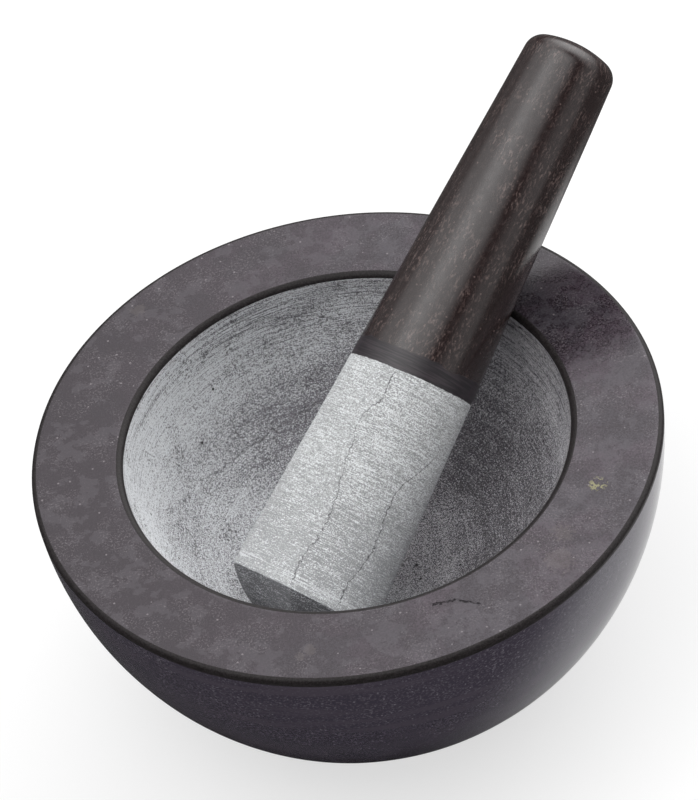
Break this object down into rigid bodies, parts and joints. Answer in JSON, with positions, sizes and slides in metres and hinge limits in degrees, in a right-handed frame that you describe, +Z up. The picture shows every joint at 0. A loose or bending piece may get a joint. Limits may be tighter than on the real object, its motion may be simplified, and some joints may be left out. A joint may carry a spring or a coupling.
{
  "type": "mortar and pestle",
  "caption": "Thick round stone mortar with a flat rim and a ground cavity, and a tapered round stone pestle with a polished handle leaning in it.",
  "frame": {"origin": "centre of the mortar's flat underside", "axes": "+Z up along the mortar's axis; the pestle leans towards +X and +Y"},
  "size_m": [0.1541, 0.1512, 0.1191],
  "materials": {
    "mortar_stone": "dark charcoal stone: polished outside, honed flat rim, ground light grey cavity",
    "pestle_stone": "dark brown-charcoal stone: polished handle, ground light grey head"
  },
  "bodies": {
    "mortar": {"mortar": "mortar_stone"},
    "pestle": {"pestle": "pestle_stone"}
  },
  "joints": [
    {"name": "pestle_lift", "type": "slide", "parent": "mortar", "child": "pestle", "axis": [0, 0, 1], "range_m": [0, 0.12]}
  ]
}
